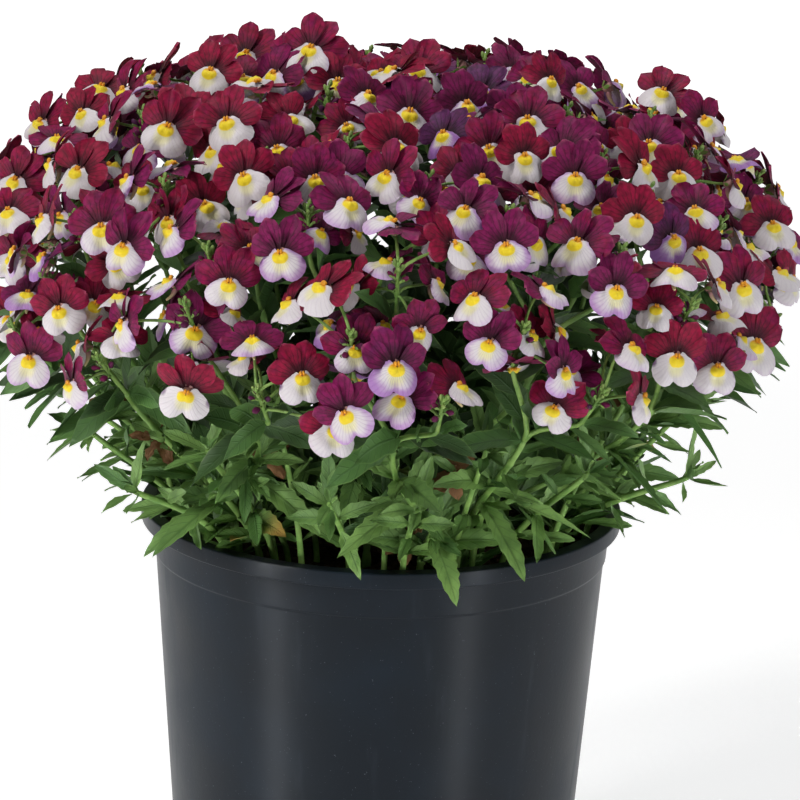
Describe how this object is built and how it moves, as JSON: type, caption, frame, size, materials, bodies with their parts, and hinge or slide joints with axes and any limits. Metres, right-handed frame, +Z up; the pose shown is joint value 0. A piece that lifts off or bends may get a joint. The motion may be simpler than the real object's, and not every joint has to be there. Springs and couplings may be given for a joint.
{
  "type": "potted nemesia",
  "caption": "Flowering nemesia in a round plastic nursery pot: a flat-topped dome of small two-lipped blooms over toothed green leaves.",
  "frame": {"origin": "centre of the pot's underside", "axes": "+Z up through the pot and the plant, front of the plant towards -Y"},
  "size_m": [0.295, 0.2883, 0.3364],
  "materials": {
    "pot_plastic": "satin blue-black moulded plastic",
    "soil": "damp crumbly potting soil",
    "stem": "smooth square green stem",
    "leaf": "matt toothed green leaf",
    "petal": "velvety crimson petal with a white lip"
  },
  "bodies": {
    "root": {"pot": "pot_plastic", "soil": "soil", "stem_01": "stem", "stem_02": "stem", "stem_03": "stem", "stem_04": "stem", "stem_05": "stem", "stem_06": "stem", "stem_07": "stem", "stem_08": "stem", "stem_09": "stem", "stem_10": "stem", "stem_11": "stem", "stem_12": "stem", "stem_13": "stem", "shoot_01": "leaf", "shoot_02": "leaf", "shoot_03": "leaf", "shoot_04": "leaf", "shoot_05": "leaf", "shoot_06": "leaf", "head_01": "petal", "head_02": "petal", "head_03": "petal", "head_04": "petal", "head_05": "petal", "head_06": "petal", "head_07": "petal", "head_08": "petal", "head_09": "petal", "head_10": "petal", "head_11": "petal", "head_12": "petal", "head_13": "petal", "head_14": "petal", "head_15": "petal", "head_16": "petal", "head_17": "petal", "head_18": "petal", "head_19": "petal", "head_20": "petal", "head_21": "petal", "head_22": "petal", "head_23": "petal", "head_24": "petal", "head_25": "petal", "head_26": "petal", "head_27": "petal", "head_28": "petal", "head_29": "petal", "head_30": "petal", "head_31": "petal", "head_32": "petal", "head_33": "petal", "head_34": "petal", "head_35": "petal", "head_36": "petal", "head_37": "petal", "head_38": "petal", "head_39": "petal"}
  },
  "joints": []
}
